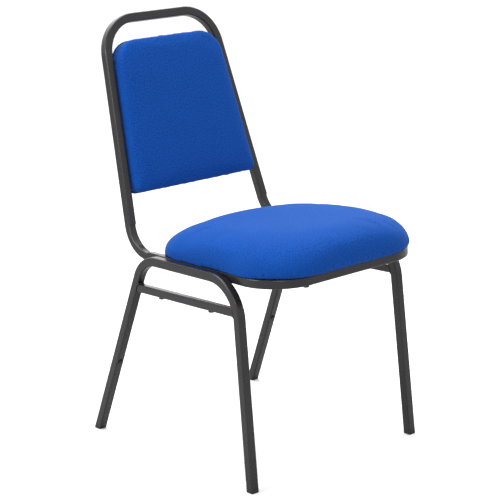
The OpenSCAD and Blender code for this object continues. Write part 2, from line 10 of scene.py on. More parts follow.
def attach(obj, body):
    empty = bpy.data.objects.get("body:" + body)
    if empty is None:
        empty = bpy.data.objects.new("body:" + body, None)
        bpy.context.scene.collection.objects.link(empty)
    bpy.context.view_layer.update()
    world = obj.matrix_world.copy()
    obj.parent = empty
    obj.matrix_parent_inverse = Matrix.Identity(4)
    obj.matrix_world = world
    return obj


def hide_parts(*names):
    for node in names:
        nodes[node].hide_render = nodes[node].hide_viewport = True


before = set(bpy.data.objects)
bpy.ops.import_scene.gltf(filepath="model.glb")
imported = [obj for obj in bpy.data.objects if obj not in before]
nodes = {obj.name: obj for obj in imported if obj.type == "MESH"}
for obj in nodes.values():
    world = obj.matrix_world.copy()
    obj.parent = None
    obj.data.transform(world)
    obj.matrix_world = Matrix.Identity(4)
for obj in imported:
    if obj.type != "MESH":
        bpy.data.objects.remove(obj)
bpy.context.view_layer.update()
scene = bpy.context.scene

# Sizes of the frame, in metres and degrees, the same as the solids were drawn to.
frameSizes = {
    "overallHeight": 0.847,
    "tube": 0.018,
    "tubeEdge": 0.003,
    "railTube": 0.016,
    "seatFrontHeight": 0.404,
    "seatSlope": 1.7,
    "seatWidthFront": 0.407,
    "seatWidthRear": 0.385,
    "seatLength": 0.427,
    "backRun": 0.133,
    "hoopWidth": 0.297,
    "legGapFront": 0.0003,
    "legGapRear": 0.003,
    "legSetBack": 0.0885,
    "legTopLength": 0.2785,
    "frontFootReach": 0.0405,
    "rearFootReach": 0.1575,
    "frontFootSplay": 0.0065,
    "rearFootSplay": 0.0085,
    "stretcherFront": 0.343,
    "stretcherRear": 0.331,
    "frontRail": 0.112,
    "rearRail": 0.300,
    "seatScrewGap": 0.220,
    "padFrontOver": 0.014,
    "boardThickness": 0.012,
}
half = frameSizes["tube"] / 2
slope = math.radians(frameSizes["seatSlope"])


def rawSeatPoint(x, v, w=0.0):
    return Vector((x, v * math.cos(slope) + w * math.sin(slope),
                   frameSizes["seatFrontHeight"] - v * math.sin(slope) + w * math.cos(slope)))


def findFrames():
    # the same skeleton as the solids: a seat plane and a back plane
    hoopFoot = rawSeatPoint(frameSizes["seatWidthRear"] / 2 - half, frameSizes["seatLength"])
    rise = frameSizes["overallHeight"] - half - hoopFoot.z
    lean = math.atan(frameSizes["backRun"] / rise)
    reach = (half - frameSizes["tubeEdge"]) * (math.cos(lean) + math.sin(lean)) + frameSizes["tubeEdge"]
    hoopTop = Vector((frameSizes["hoopWidth"] / 2 - half, hoopFoot.y + frameSizes["backRun"],
                      frameSizes["overallHeight"] - reach))
    frontEdge = rawSeatPoint(0, -half - frameSizes["padFrontOver"], half + frameSizes["boardThickness"]).y
    centreY = (frontEdge + hoopTop.y + reach) / 2
    return hoopFoot, hoopTop, centreY


hoopFoot, hoopTop, centreY = findFrames()
shift = Vector((0, -centreY, 0))
backUp = Vector((0, hoopTop.y - hoopFoot.y, hoopTop.z - hoopFoot.z)).normalized()
backFront = Vector((1, 0, 0)).cross(backUp)
if backFront.y > 0:
    backFront = -backFront
backHeight = (hoopTop - hoopFoot).dot(backUp)
stileLean = math.atan((hoopFoot.x - hoopTop.x) / backHeight)


def seatPoint(x, v, w=0.0):
    # w is measured up from the rails' top faces
    return rawSeatPoint(x, v, w + half) + shift


def backPoint(x, w, f=0.0):
    # w runs up the stiles and f forward from their centre lines
    return Vector((0, hoopFoot.y, hoopFoot.z)) + shift + Vector((x, 0, 0)) + backUp * w + backFront * f


def railHalf(v):
    return (frameSizes["seatWidthFront"] / 2 - half
            + (frameSizes["seatWidthRear"] - frameSizes["seatWidthFront"]) / 2 * v / frameSizes["seatLength"])


def stileClear(w):
    return hoopFoot.x + (hoopTop.x - hoopFoot.x) * w / backHeight - half / math.cos(stileLean)


print("frames found, back plane leans", round(math.degrees(math.atan2(backUp.y, backUp.z)), 2))


# Node helpers
def addNode(tree, kind, place=(0, 0), **settings):
    node = tree.nodes.new(kind)
    node.location = (place[0] * 200, place[1] * 160)
    for name, value in settings.items():
        setattr(node, name, value)
    return node


def fill(node, values):
    for name, value in values.items():
        node.inputs[name].default_value = value
    return node


def plug(tree, value, socket):
    # a plain value is set on the socket, an output is linked to it
    if isinstance(value, (int, float, tuple)):
        socket.default_value = value
    elif value is not None:
        tree.links.new(value, socket)


def mathNode(tree, operation, a, b=None, place=(0, 0), clamp=False):
    node = addNode(tree, "ShaderNodeMath", place, operation=operation, use_clamp=clamp)
    plug(tree, a, node.inputs[0])
    plug(tree, b, node.inputs[1])
    return node.outputs[0]


def ramp(tree, value, low, high, toLow, toHigh, place=(0, 0)):
    node = addNode(tree, "ShaderNodeMapRange", place)
    fill(node, {"From Min": low, "From Max": high})
    for name, given in (("To Min", toLow), ("To Max", toHigh), ("Value", value)):
        plug(tree, given, node.inputs[name])
    return node.outputs["Result"]


def noiseNode(tree, vector, scale, detail=2.0, rough=0.5, place=(0, 0)):
    node = addNode(tree, "ShaderNodeTexNoise", place)
    for name, given in (("Scale", scale), ("Detail", detail), ("Roughness", rough), ("Vector", vector)):
        plug(tree, given, node.inputs[name])
    return node.outputs["Fac"]


def mixColour(tree, factor, a, b, place=(0, 0), blend="MIX"):
    node = addNode(tree, "ShaderNodeMix", place, data_type="RGBA", blend_type=blend)
    for index, given in ((0, factor), (6, a), (7, b)):  # the colour mix's own sockets
        plug(tree, given, node.inputs[index])
    return node.outputs[2]


def newGroup(name, inputs, outputs):
    group = bpy.data.node_groups.new(name, "ShaderNodeTree")
    for label, kind, value in inputs:
        socket = group.interface.new_socket(name=label, in_out="INPUT", socket_type=kind)
        if value is not None:
            socket.default_value = value
    for label, kind in outputs:
        group.interface.new_socket(name=label, in_out="OUTPUT", socket_type=kind)
    source = addNode(group, "NodeGroupInput", (-6, 0))
    sink = addNode(group, "NodeGroupOutput", (6, 0))
    return group, source, sink


def clothGroup():
    # threads over and under each other, with a melange of darker and lighter yarn
    group, source, sink = newGroup("wovenCloth", [
        ("Vector", "NodeSocketVector", None),
        ("Dark", "NodeSocketColor", (0.01, 0.04, 0.3, 1)),
        ("Light", "NodeSocketColor", (0.03, 0.1, 0.5, 1)),
        ("Thread Pitch", "NodeSocketFloat", 0.0012),
        ("Melange", "NodeSocketFloat", 0.5),
    ], [("Color", "NodeSocketColor"), ("Height", "NodeSocketFloat"), ("Roughness", "NodeSocketFloat")])
    vector = source.outputs["Vector"]
    perMetre = mathNode(group, "DIVIDE", 2 * math.pi, source.outputs["Thread Pitch"], (-5, 3))
    wobble = addNode(group, "ShaderNodeTexNoise", (-5, -2))
    fill(wobble, {"Scale": 60.0, "Detail": 1.0})
    group.links.new(vector, wobble.inputs["Vector"])
    centred = addNode(group, "ShaderNodeVectorMath", (-4, -2), operation="SUBTRACT")
    centred.inputs[1].default_value = (0.5, 0.5, 0.5)
    group.links.new(wobble.outputs["Color"], centred.inputs[0])
    small = addNode(group, "ShaderNodeVectorMath", (-3, -2), operation="SCALE")
    small.inputs["Scale"].default_value = 0.0016
    group.links.new(centred.outputs[0], small.inputs[0])
    moved = addNode(group, "ShaderNodeVectorMath", (-2, -1), operation="ADD")
    group.links.new(vector, moved.inputs[0])
    group.links.new(small.outputs[0], moved.inputs[1])
    split = addNode(group, "ShaderNodeSeparateXYZ", (-1, 0))
    group.links.new(moved.outputs[0], split.inputs[0])
    turnX = mathNode(group, "MULTIPLY", split.outputs["X"], perMetre, (0, 2))
    turnY = mathNode(group, "MULTIPLY", split.outputs["Y"], perMetre, (0, 1))
    warp = mathNode(group, "SINE", turnX, None, (1, 2))
    weft = mathNode(group, "SINE", turnY, None, (1, 1))
    crossing = mathNode(group, "MULTIPLY", warp, weft, (2, 2))
    weave = ramp(group, crossing, -1, 1, 0, 1, (3, 2))
    fine = noiseNode(group, vector, 900.0, 3.0, 0.6, (0, -1))
    yarn = noiseNode(group, vector, 380.0, 3.0, 0.65, (0, -2))
    broad = noiseNode(group, vector, 14.0, 2.0, 0.5, (0, -3))
    speck = mathNode(group, "ADD", mathNode(group, "MULTIPLY", fine, 0.35, (1, -1)),
                     mathNode(group, "MULTIPLY", yarn, 0.65, (1, -2)), (2, -1))
    contrast = ramp(group, speck, 0.40, 0.60, 0, 1, (3, -1))
    melange = mathNode(group, "MULTIPLY", contrast, source.outputs["Melange"], (4, -1))
    tone = mathNode(group, "ADD", melange, mathNode(group, "MULTIPLY", weave, 0.22, (4, 1)), (5, 0))
    soft = mathNode(group, "ADD", tone, mathNode(group, "MULTIPLY", broad, 0.16, (4, -3)), (5, -1), clamp=True)
    colour = mixColour(group, soft, source.outputs["Dark"], source.outputs["Light"], (5, 2))
    group.links.new(colour, sink.inputs["Color"])
    height = mathNode(group, "ADD", mathNode(group, "MULTIPLY", weave, 0.6, (4, 3)),
                      mathNode(group, "MULTIPLY", speck, 0.7, (4, 4)), (5, 3))
    group.links.new(height, sink.inputs["Height"])
    group.links.new(ramp(group, speck, 0.3, 0.7, 0.82, 0.96, (5, -3)), sink.inputs["Roughness"])
    return group


def coatGroup():
    # the fine orange peel of a baked coat, with a little dust and rub
    group, source, sink = newGroup("coatSurface", [
        ("Vector", "NodeSocketVector", None),
        ("Base", "NodeSocketColor", (0.03, 0.03, 0.03, 1)),
        ("Rubbed", "NodeSocketColor", (0.06, 0.06, 0.06, 1)),
        ("Grain Scale", "NodeSocketFloat", 900.0),
        ("Smooth Roughness", "NodeSocketFloat", 0.36),
        ("Dull Roughness", "NodeSocketFloat", 0.5),
    ], [("Color", "NodeSocketColor"), ("Height", "NodeSocketFloat"), ("Roughness", "NodeSocketFloat")])
    vector = source.outputs["Vector"]
    peel = noiseNode(group, vector, source.outputs["Grain Scale"], 2.0, 0.5, (-2, 2))
    cloud = noiseNode(group, vector, 22.0, 4.0, 0.6, (-2, 0))
    fleck = noiseNode(group, vector, 260.0, 3.0, 0.6, (-2, -2))
    mask = mathNode(group, "ADD", mathNode(group, "MULTIPLY", cloud, 0.6, (-1, 0)),
                    mathNode(group, "MULTIPLY", fleck, 0.4, (-1, -1)), (0, 0))
    amount = ramp(group, mask, 0.38, 0.66, 0, 1, (1, 0))
    group.links.new(mixColour(group, amount, source.outputs["Base"], source.outputs["Rubbed"], (3, 2)),
                    sink.inputs["Color"])
    group.links.new(ramp(group, mask, 0.36, 0.66, source.outputs["Smooth Roughness"],
                         source.outputs["Dull Roughness"], (3, -1)), sink.inputs["Roughness"])
    group.links.new(peel, sink.inputs["Height"])
    return group


def startMaterial(name):
    material = bpy.data.materials.new(name)
    material.use_nodes = True
    tree = material.node_tree
    tree.nodes.clear()
    output = addNode(tree, "ShaderNodeOutputMaterial", (8, 0))
    shader = addNode(tree, "ShaderNodeBsdfPrincipled", (5, 0))
    tree.links.new(shader.outputs[0], output.inputs["Surface"])
    return material, tree, shader


def addBump(tree, shader, height, distance, strength, place=(3, -3)):
    bump = addNode(tree, "ShaderNodeBump", place)
    fill(bump, {"Distance": distance, "Strength": strength})
    tree.links.new(height, bump.inputs["Height"])
    tree.links.new(bump.outputs["Normal"], shader.inputs["Normal"])


clothLook = {
    "dark": (0.0008, 0.0165, 0.118, 1),
    "light": (0.0056, 0.076, 0.372, 1),
    "pitch": 0.0013,
    "melange": 0.92,
    "bump": 0.00035,
    "sheen": 0.16,
    "sheenTint": (0.2, 0.45, 1.0, 1),
}


def makeCloth(group):
    material, tree, shader = startMaterial("royalBlueCloth")
    place = addNode(tree, "ShaderNodeAttribute", (-3, 0), attribute_name="clothMap")
    weave = addNode(tree, "ShaderNodeGroup", (0, 0), node_tree=group)
    fill(weave, {"Dark": clothLook["dark"], "Light": clothLook["light"],
                 "Thread Pitch": clothLook["pitch"], "Melange": clothLook["melange"]})
    tree.links.new(place.outputs["Vector"], weave.inputs["Vector"])
    tree.links.new(weave.outputs["Color"], shader.inputs["Base Color"])
    tree.links.new(weave.outputs["Roughness"], shader.inputs["Roughness"])
    fill(shader, {"Specular IOR Level": 0.08, "Sheen Weight": clothLook["sheen"],
                  "Sheen Roughness": 0.45, "Sheen Tint": clothLook["sheenTint"]})
    addBump(tree, shader, weave.outputs["Height"], clothLook["bump"], 0.7)
    return material


# The frame's coat, the coat where it lies over a weld, moulded plastic, plated steel and bare foam.
coatLooks = {
    "darkPowderCoat": {"base": (0.0100, 0.0088, 0.0098, 1), "rubbed": (0.0125, 0.0113, 0.0123, 1),
                       "grain": 1100.0, "smooth": 0.24, "dull": 0.31, "bump": 0.00005, "metallic": 0.0},
    "coatOverWeld": {"base": (0.012, 0.011, 0.012, 1), "rubbed": (0.022, 0.021, 0.022, 1),
                     "grain": 500.0, "smooth": 0.4, "dull": 0.55, "bump": 0.0002, "metallic": 0.0},
    "blackPlastic": {"base": (0.005, 0.005, 0.0055, 1), "rubbed": (0.010, 0.010, 0.011, 1),
                     "grain": 1500.0, "smooth": 0.42, "dull": 0.6, "bump": 0.00008, "metallic": 0.0},
    "zincPlate": {"base": (0.52, 0.53, 0.54, 1), "rubbed": (0.66, 0.66, 0.64, 1),
                  "grain": 420.0, "smooth": 0.26, "dull": 0.42, "bump": 0.00005, "metallic": 1.0},
    "cushionFoam": {"base": (0.62, 0.55, 0.33, 1), "rubbed": (0.74, 0.68, 0.45, 1),
                    "grain": 700.0, "smooth": 0.85, "dull": 0.95, "bump": 0.0006, "metallic": 0.0},
}


def makeCoated(name, look, group):
    material, tree, shader = startMaterial(name)
    place = addNode(tree, "ShaderNodeTexCoord", (-3, 0))
    surface = addNode(tree, "ShaderNodeGroup", (0, 0), node_tree=group)
    fill(surface, {"Base": look["base"], "Rubbed": look["rubbed"], "Grain Scale": look["grain"],
                   "Smooth Roughness": look["smooth"], "Dull Roughness": look["dull"]})
    tree.links.new(place.outputs["Object"], surface.inputs["Vector"])
    tree.links.new(surface.outputs["Color"], shader.inputs["Base Color"])
    tree.links.new(surface.outputs["Roughness"], shader.inputs["Roughness"])
    fill(shader, {"Specular IOR Level": 0.5, "Metallic": look["metallic"]})
    addBump(tree, shader, surface.outputs["Height"], look["bump"], 0.35)
    return material


def makePlywood():
    material, tree, shader = startMaterial("birchPlywood")
    place = addNode(tree, "ShaderNodeTexCoord", (-4, 0))
    mapping = addNode(tree, "ShaderNodeMapping", (-3, 0))
    mapping.inputs["Scale"].default_value = (9.0, 1.0, 9.0)
    tree.links.new(place.outputs["Object"], mapping.inputs["Vector"])
    grain = noiseNode(tree, mapping.outputs["Vector"], 28.0, 6.0, 0.62, (-1, 1))
    cloud = noiseNode(tree, place.outputs["Object"], 9.0, 3.0, 0.5, (-1, -1))
    tone = ramp(tree, grain, 0.35, 0.66, 0, 1, (0, 1))
    wood = mixColour(tree, tone, (0.42, 0.27, 0.14, 1), (0.62, 0.45, 0.27, 1), (1, 1))
    tree.links.new(mixColour(tree, mathNode(tree, "MULTIPLY", cloud, 0.5, (0, -1)), wood,
                             (0.5, 0.34, 0.19, 1), (2, 0)), shader.inputs["Base Color"])
    tree.links.new(ramp(tree, grain, 0.3, 0.7, 0.58, 0.74, (2, -1)), shader.inputs["Roughness"])
    addBump(tree, shader, grain, 0.0003, 0.4)
    return material


cloth = clothGroup()
coat = coatGroup()
blueCloth = makeCloth(cloth)
powderCoat, weldCoat, blackPlastic, zincPlate, foam = (
    makeCoated(name, look, coat) for name, look in coatLooks.items())
plywood = makePlywood()
print("materials made")


finishes = {"_board": plywood, "_foam": foam, "_cover": blueCloth, "_panel": blueCloth,
            "_screws": zincPlate, "_tee_nuts": zincPlate,
            "_foot": blackPlastic, "_buffers": blackPlastic, "_stud": blackPlastic}


def dress(piece, material):
    piece.data.materials.clear()
    piece.data.materials.append(material)


for nodeName, nodePiece in nodes.items():
    dress(nodePiece, next((finishes[end] for end in finishes if nodeName.endswith(end)), powderCoat))


# Mesh helpers
def newPiece(name, vertices, faces, material):
    mesh = bpy.data.meshes.new(name)
    mesh.from_pydata([tuple(v) for v in vertices], [], faces)
    mesh.materials.append(material)
    piece = bpy.data.objects.new(name, mesh)
    scene.collection.objects.link(piece)
    return piece


def faceOutwards(piece):
    work = bmesh.new()
    work.from_mesh(piece.data)
    bmesh.ops.recalc_face_normals(work, faces=work.faces[:])
    work.to_mesh(piece.data)
    work.free()


def smoothShade(piece):
    piece.data.polygons.foreach_set("use_smooth", [True] * len(piece.data.polygons))


def outline(low, high, lowHalf, highHalf, lowRadius, highRadius, count):
    # a trapezium with rounded corners, as evenly spaced points from the middle of its low side
    tilt = math.atan((highHalf - lowHalf) / (high - low))
    lowX = lowHalf - lowRadius * (1 - math.sin(tilt)) / math.cos(tilt)
    highX = highHalf - highRadius * (1 + math.sin(tilt)) / math.cos(tilt)
    path = [(0.0, low)]
    for step in range(33):
        angle = math.radians(-90) + (math.radians(90) - tilt) * step / 32
        path.append((lowX + lowRadius * math.cos(angle), low + lowRadius + lowRadius * math.sin(angle)))
    for step in range(33):
        angle = -tilt + (math.radians(90) + tilt) * step / 32
        path.append((highX + highRadius * math.cos(angle), high - highRadius + highRadius * math.sin(angle)))
    path.append((0.0, high))
    path += [(-x, y) for x, y in reversed(path[1:-1])]
    path.append(path[0])
    points = np.array(path)
    lengths = np.concatenate([[0], np.cumsum(np.linalg.norm(np.diff(points, axis=0), axis=1))])
    wanted = np.linspace(0, lengths[-1], count, endpoint=False)
    return np.stack([np.interp(wanted, lengths, points[:, k]) for k in (0, 1)], axis=1)


def loftRings(name, rings, material):
    # rings of the same count, from the lowest to the highest, each end closed by a fan
    count = len(rings[0])
    vertices = [p for ring in rings for p in ring]
    faces = []
    for level in range(len(rings) - 1):
        for k in range(count):
            a, b = level * count + k, level * count + (k + 1) % count
            faces.append((a, b, b + count, a + count))
    for level, turn in ((0, -1), (len(rings) - 1, 1)):
        middle = sum((Vector(p) for p in rings[level]), Vector()) / count
        vertices.append(middle)
        for k in range(count):
            a, b = level * count + k, level * count + (k + 1) % count
            faces.append((len(vertices) - 1, a, b)[::turn])
    piece = newPiece(name, vertices, faces, material)
    faceOutwards(piece)
    return piece


def padOutline(pad, halfAt, grow=(0, 0, 0)):
    # grow moves the low end, the sides and the high end outwards
    low, high = pad["low"] - grow[0], pad["high"] + grow[2]
    return outline(low, high, halfAt(pad["low"]) + grow[1], halfAt(pad["high"]) + grow[1],
                   pad["lowRadius"], pad["highRadius"], pad["count"])


def padRings(pad, halfAt):
    # A stuffed pad: from its resting edge out to its widest line, then up over the crown.
    # The higher it goes, the more each ring leaves the board's outline for an oval.
    edge = padOutline(pad, halfAt, pad["under"])
    wide = padOutline(pad, halfAt, pad["bulge"])
    middle = np.array([0.0, (pad["low"] + pad["high"]) / 2])
    bearing = np.arctan2(wide[:, 1] - middle[1], wide[:, 0])
    halfX = (halfAt(pad["low"]) + halfAt(pad["high"])) / 2 + pad["bulge"][1]
    halfY = (pad["high"] - pad["low"] + pad["bulge"][0] + pad["bulge"][2]) / 2
    ovalMiddle = middle[1] + (pad["bulge"][2] - pad["bulge"][0]) / 2
    power = pad["ovalPower"]
    radius = (np.abs(np.cos(bearing) / halfX) ** power
              + np.abs(np.sin(bearing) / halfY) ** power) ** (-1 / power)
    oval = np.stack([radius * np.cos(bearing), ovalMiddle + radius * np.sin(bearing)], axis=1)
    rings = []
    for step in np.linspace(0, 1, 7):
        turn = step * math.pi / 2
        ring = edge + (wide - edge) * math.sin(turn)
        height = pad["rest"] + (pad["wideHeight"] - pad["rest"]) * (1 - math.cos(turn))
        rings.append((ring, np.full(len(ring), height)))
    for step in np.linspace(0, 1, pad["domeSteps"] + 1)[1:]:
        rise = math.sin(step * math.pi / 2)
        reach = max((1 - rise ** pad["risePower"]), 0) ** (1 / pad["edgePower"])
        reach = max(reach, pad["smallest"])
        blend = pad["ovalShare"] * rise ** pad["ovalRise"]
        ring = middle + ((wide - middle) * (1 - blend) + (oval - middle) * blend) * reach
        along = (ring[:, 1] - middle[1]) / ((pad["high"] - pad["low"]) / 2)
        crown = pad["crown"] + pad["crownTilt"] * along
        rings.append((ring, pad["wideHeight"] + (crown - pad["wideHeight"]) * rise))
    return rings


def coordinates(mesh, field="co"):
    flat = np.empty(len(mesh.vertices) * 3)
    mesh.vertices.foreach_get(field, flat)
    return flat.reshape(-1, 3)


def setCoordinates(mesh, points):
    mesh.vertices.foreach_set("co", np.ascontiguousarray(points, dtype=np.float32).ravel())
    mesh.update()


def bakeModifiers(piece):
    # applies every modifier by taking the evaluated mesh
    graph = bpy.context.evaluated_depsgraph_get()
    result = bpy.data.meshes.new_from_object(piece.evaluated_get(graph), depsgraph=graph)
    piece.modifiers.clear()
    old = piece.data
    piece.data = result
    bpy.data.meshes.remove(old)


def remesh(piece, voxel):
    modifier = piece.modifiers.new("evenQuads", "REMESH")
    modifier.mode = "VOXEL"
    modifier.voxel_size = voxel
    bakeModifiers(piece)


def subdivide(piece):
    modifier = piece.modifiers.new("finer", "SUBSURF")
    modifier.levels = modifier.render_levels = 1
    bakeModifiers(piece)
    smoothShade(piece)


def inflate(piece, pinned, pressure, share, cap, steps=20):
    # a short cloth run, of which a share is kept; no point ends more than cap from where it began
    group = piece.vertex_groups.new(name="held")
    group.add([int(i) for i in pinned], 1.0, "REPLACE")
    before = coordinates(piece.data)
    modifier = piece.modifiers.new("clothRun", "CLOTH")
    settings = modifier.settings
    settings.quality = 6
    settings.mass = 0.3
    settings.tension_stiffness = 18
    settings.compression_stiffness = 18
    settings.shear_stiffness = 8
    settings.bending_stiffness = 1.2
    settings.use_pressure = True
    settings.uniform_pressure_force = pressure
    settings.vertex_group_mass = "held"
    settings.effector_weights.gravity = 0
    modifier.collision_settings.use_collision = False
    modifier.collision_settings.use_self_collision = False
    modifier.point_cache.frame_start = 1
    modifier.point_cache.frame_end = steps
    for step in range(1, steps + 1):
        scene.frame_set(step)
    graph = bpy.context.evaluated_depsgraph_get()
    after = coordinates(piece.evaluated_get(graph).data)
    piece.modifiers.clear()
    scene.frame_set(1)
    move = (after - before) * share
    length = np.linalg.norm(move, axis=1, keepdims=True)
    move *= np.minimum(1, cap / np.maximum(length, 1e-9))
    setCoordinates(piece.data, before + move)
    print("   swelled by up to", round(float(np.linalg.norm(move, axis=1).max()) * 1000, 1), "mm")


def localCoordinates(points, origin, axes):
    return (points - np.array(origin)) @ np.array(axes).T


def worldCoordinates(points, origin, axes):
    return points @ np.array(axes) + np.array(origin)


def relax(piece, rounds, strength, weights):
    # smooths where the weight is high, so that the resting edge stays crisp
    group = piece.vertex_groups.new(name="loose")
    for index, weight in enumerate(weights):
        group.add([index], float(weight), "REPLACE")
    modifier = piece.modifiers.new("relax", "SMOOTH")
    modifier.factor = strength
    modifier.iterations = rounds
    modifier.vertex_group = "loose"
    bakeModifiers(piece)
    piece.vertex_groups.clear()


def addClothMap(piece, origin, axes, shoulder):
    # cloth coordinates: across and along the pad, running on down its sides
    local = localCoordinates(coordinates(piece.data), origin, axes)
    drop = np.maximum(0, shoulder - local[:, 2])
    flat = coordinates(piece.data, "normal") @ np.array(axes).T
    sideways = flat[:, :2] / np.maximum(np.linalg.norm(flat[:, :2], axis=1, keepdims=True), 1e-6)
    steep = np.clip(1 - np.abs(flat[:, 2:3]), 0, 1) ** 0.5
    cloth2d = local[:, :2] + sideways * steep * drop[:, None]
    values = np.concatenate([cloth2d, np.zeros((len(cloth2d), 1))], axis=1)
    attribute = piece.data.attributes.new("clothMap", "FLOAT_VECTOR", "POINT")
    attribute.data.foreach_set("vector", values.astype(np.float32).ravel())


seatOrigin = seatPoint(0, 0)
seatAxes = [Vector((1, 0, 0)), (seatPoint(0, 1) - seatOrigin).normalized(),
            (seatPoint(0, 0, 1) - seatOrigin).normalized()]
backOrigin = backPoint(0, 0)
backAxes = [Vector((1, 0, 0)), backUp, backFront]


def addPuckers(piece, origin, axes, look):
    # short folds where the cloth is drawn round the board's edge
    local = localCoordinates(coordinates(piece.data), origin, axes)
    bearing = np.arctan2(local[:, 1] - look["middle"], local[:, 0])
    fade = np.exp(-((local[:, 2] - look["at"]) / look["width"]) ** 2)
    amount = np.zeros(len(local))
    for count, share, start in look["waves"]:
        amount += share * np.sin(bearing * count + start + 0.8 * np.sin(bearing * 3 + start))
    slow = np.array([noise.noise(Vector(p) * look["patch"]) for p in local])
    amount = np.maximum(amount, -0.4) * np.clip(0.55 + slow * 1.3, 0, 1.4)
    moved = coordinates(piece.data, "normal") * (amount * fade * look["depth"])[:, None]
    setCoordinates(piece.data, coordinates(piece.data) + moved)


def sharpenEdge(piece, pad, halfAt, origin, axes):
    # the remesh rounds the resting edge, so its points go back out to the edge's outline
    edge = padOutline(pad, halfAt, pad["under"])
    middle = np.array([0.0, (pad["low"] + pad["high"]) / 2])
    away = edge - middle
    angles = np.arctan2(away[:, 1], away[:, 0])
    order = np.argsort(angles)
    local = localCoordinates(coordinates(piece.data), origin, axes)
    out = local[:, :2] - middle
    radius = np.linalg.norm(out, axis=1)
    wanted = np.interp(np.arctan2(out[:, 1], out[:, 0]), angles[order], np.linalg.norm(away, axis=1)[order],
                       period=2 * math.pi)
    height = local[:, 2] - pad["rest"]
    near = (radius > wanted - pad["edgeBand"]) * np.clip(1 - height / pad["edgeBand"], 0, 1)
    local[:, :2] = middle + out * (1 + (wanted / radius - 1) * np.minimum(near * 1.6, 1))[:, None]
    setCoordinates(piece.data, worldCoordinates(local, origin, axes))


def finishCushion(piece, pad, halfAt, origin, axes, puckers):
    remesh(piece, pad["voxel"])
    sharpenEdge(piece, pad, halfAt, origin, axes)
    local = localCoordinates(coordinates(piece.data), origin, axes)
    held = np.nonzero(local[:, 2] < pad["rest"] + pad["heldHeight"])[0]
    inflate(piece, held, pad["pressure"], pad["share"], pad["cap"])
    relax(piece, pad["relaxRounds"], 0.5, np.clip((local[:, 2] - pad["rest"] - 0.002) / 0.008, 0, 1))
    addPuckers(piece, origin, axes, puckers)
    local = localCoordinates(coordinates(piece.data), origin, axes)
    local[:, 2] = np.maximum(local[:, 2], pad["rest"])  # flat where it rests
    setCoordinates(piece.data, worldCoordinates(local, origin, axes))
    subdivide(piece)
    addClothMap(piece, origin, axes, pad["shoulder"])
    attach(piece, "root")


# The seat cushion: low is its front end and high its rear end, heights are above the rails.
seatPad = {
    "low": -0.0147,
    "high": 0.3664,
    "lowRadius": 0.112,
    "highRadius": 0.0786,
    "bulge": (0.012, 0.0015, -0.004),
    "under": (0.001, 0.0018, -0.003),
    "rest": 0.0003,
    "wideHeight": 0.0138,
    "crown": 0.0638,
    "crownTilt": -0.008,
    "edgePower": 5.36,
    "risePower": 3.96,
    "ovalPower": 2.07,
    "ovalRise": 1.45,
    "ovalShare": 1.0,
    "smallest": 0.03,
    "domeSteps": 22,
    "count": 176,
    "voxel": 0.0042,
    "edgeBand": 0.004,
    "heldHeight": 0.004,
    "pressure": 4.0,
    "share": 0.3,
    "cap": 0.0022,
    "relaxRounds": 8,
    "shoulder": 0.045,
    "fill": 0.75,
}
seatPuckers = {"middle": 0.176, "at": 0.005, "width": 0.006, "depth": 0.0009, "patch": 14.0,
               "waves": ((61, 0.6, 0.4), (97, 0.4, 1.9), (23, 0.35, 2.6))}


def seatHalf(v):
    return railHalf(v) + half + 0.0005


def makeSeatCushion():
    rings = [[seatPoint(x, v, h) for (x, v), h in zip(ring, heights)]
             for ring, heights in padRings(seatPad, seatHalf)]
    cushion = loftRings("seatCushion", rings, blueCloth)
    finishCushion(cushion, seatPad, seatHalf, seatOrigin, seatAxes, seatPuckers)
    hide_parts("seat_cover", "seat_foam")
    print("seat cushion made,", len(cushion.data.vertices), "points")


# The back cushion: low is its bottom end, heights are forward of the stiles' centre lines.
backPad = {
    "low": 0.1186,
    "high": 0.4196,
    "lowRadius": 0.0145,
    "highRadius": 0.0550,
    "bulge": (0.0072, 0.0004, 0.0004),
    "under": (0.001, -0.001, -0.001),
    "rest": -0.0058,
    "wideHeight": 0.0215,
    "crown": 0.0300,
    "crownTilt": 0.0,
    "edgePower": 6.64,
    "risePower": 2.87,
    "ovalPower": 4.0,
    "ovalRise": 1.5,
    "ovalShare": 0.5,
    "smallest": 0.03,
    "domeSteps": 18,
    "count": 168,
    "voxel": 0.0042,
    "edgeBand": 0.003,
    "heldHeight": 0.004,
    "pressure": 3.5,
    "share": 0.3,
    "cap": 0.0016,
    "relaxRounds": 6,
    "shoulder": 0.024,
    "fill": 0.8,
}
backPuckers = {"middle": 0.265, "at": 0.004, "width": 0.012, "depth": 0.0012, "patch": 18.0,
               "waves": ((47, 0.6, 1.1), (83, 0.4, 0.3), (19, 0.4, 2.0))}


def backHalf(w):
    return stileClear(w) - 0.0025


def makeBackCushion():
    rings = [[backPoint(x, w, h) for (x, w), h in zip(ring, heights)]
             for ring, heights in padRings(backPad, backHalf)]
    cushion = loftRings("backCushion", rings, blueCloth)
    finishCushion(cushion, backPad, backHalf, backOrigin, backAxes, backPuckers)
    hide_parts("back_cover", "back_foam")
    print("back cushion made,", len(cushion.data.vertices), "points")


makeSeatCushion()
makeBackCushion()

# The covered panel that closes the back of the back pad.
rearPanel = {"low": 0.1125, "high": 0.4205, "lowRadius": 0.0145, "highRadius": 0.054, "count": 168,
             "back": -0.0104, "front": -0.0060, "crown": 0.0012}


